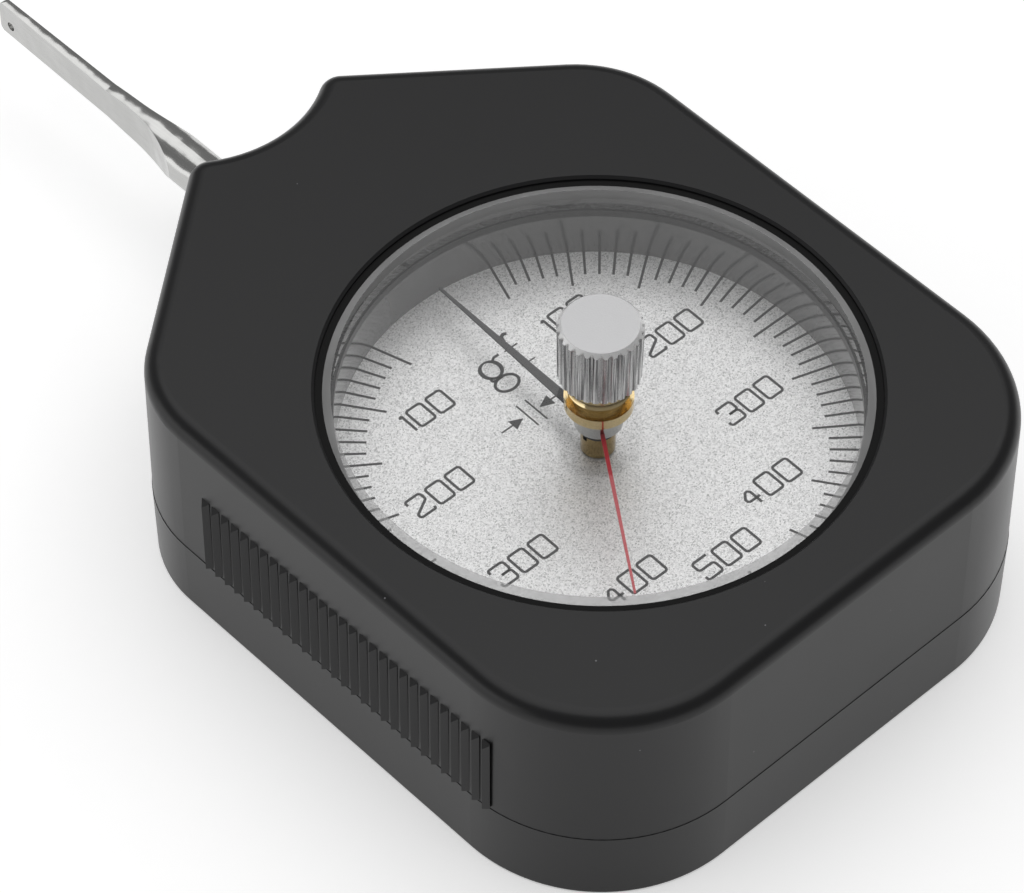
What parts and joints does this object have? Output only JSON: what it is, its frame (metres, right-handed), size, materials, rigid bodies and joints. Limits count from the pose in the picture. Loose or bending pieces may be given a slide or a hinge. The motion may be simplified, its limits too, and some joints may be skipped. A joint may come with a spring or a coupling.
{
  "type": "dial force gauge",
  "caption": "Hand-held dial force gauge: side-acting measuring lever, geared pointer on a two-way dial, and a peak pointer set by a knob on the lens.",
  "frame": {"origin": "on the flat back face, under the dial's axis", "axes": "+Z out of the dial, +Y along the measuring lever, +X to the right of the dial"},
  "size_m": [0.0638, 0.12, 0.0339],
  "materials": {
    "black_plastic": "fine satin moulded ABS",
    "dark_steel": "blackened",
    "clear_plastic": "clear acrylic",
    "black_rubber": "matt",
    "grey_plastic": "smooth semi-gloss",
    "silvered_metal": "fine grained silver, printed scale",
    "brass": "machined",
    "polished_brass": "turned and polished",
    "bronze": "machined phosphor bronze",
    "steel": "turned",
    "spring_steel": "drawn wire",
    "plated_steel": "polished nickel plating",
    "dark_paint": "satin dark grey",
    "red_paint": "satin red",
    "knob_aluminium": "satin turned, straight flutes"
  },
  "bodies": {
    "case": {"upper_housing": "black_plastic", "back_cover": "black_plastic", "case_screws": "dark_steel", "lens": "clear_plastic", "lens_seal": "black_rubber", "dial_ring": "grey_plastic", "dial_plate": "silvered_metal", "dial_feet": "brass", "front_plate": "brass", "rear_plate": "brass", "pillars": "brass", "front_plate_screws": "steel", "rear_plate_screws": "steel", "movement_screws": "steel", "pointer_front_bush": "bronze", "pointer_rear_bush": "bronze", "lever_front_bush": "bronze", "lever_rear_bush": "bronze", "stop_pins": "steel", "spring_post": "steel", "hairspring_stud": "brass", "lens_bushing": "polished_brass", "bushing_nut": "polished_brass", "friction_washer": "steel"},
    "lever": {"measuring_lever": "plated_steel", "lever_hub": "steel", "lever_set_screw": "dark_steel", "lever_arbor": "steel", "sector_gear": "brass", "sector_rivets": "steel", "drive_pin": "steel", "centring_spring": "spring_steel"},
    "pointer": {"pointer_arbor": "steel", "pinion": "steel", "hairspring_collet": "brass", "hairspring": "bronze", "pointer_hub": "brass", "main_pointer": "dark_paint"},
    "peak_pointer": {"reset_knob": "knob_aluminium", "peak_shaft": "steel", "drag_hub": "plated_steel", "drag_pointer": "red_paint"}
  },
  "joints": [
    {"name": "lever_swing", "type": "hinge", "parent": "case", "child": "lever", "pos_m": [0, 0.0285, 0.0098], "axis": [0, 0, 1], "range_deg": [-10.1, 10.1], "stiffness_Nm_per_rad": 1.6, "deforming": ["centring_spring"]},
    {"name": "pointer_turn", "type": "hinge", "parent": "case", "child": "pointer", "pos_m": [0, 0, 0.0098], "axis": [0, 0, 1], "range_deg": [-182, 182], "deforming": ["hairspring"]},
    {"name": "peak_pointer_turn", "type": "hinge", "parent": "case", "child": "peak_pointer", "pos_m": [0, 0, 0.0243], "axis": [0, 0, 1], "continuous": true}
  ],
  "couplings": [
    {"joint": "pointer_turn", "follows": "lever_swing", "ratio": -18}
  ]
}
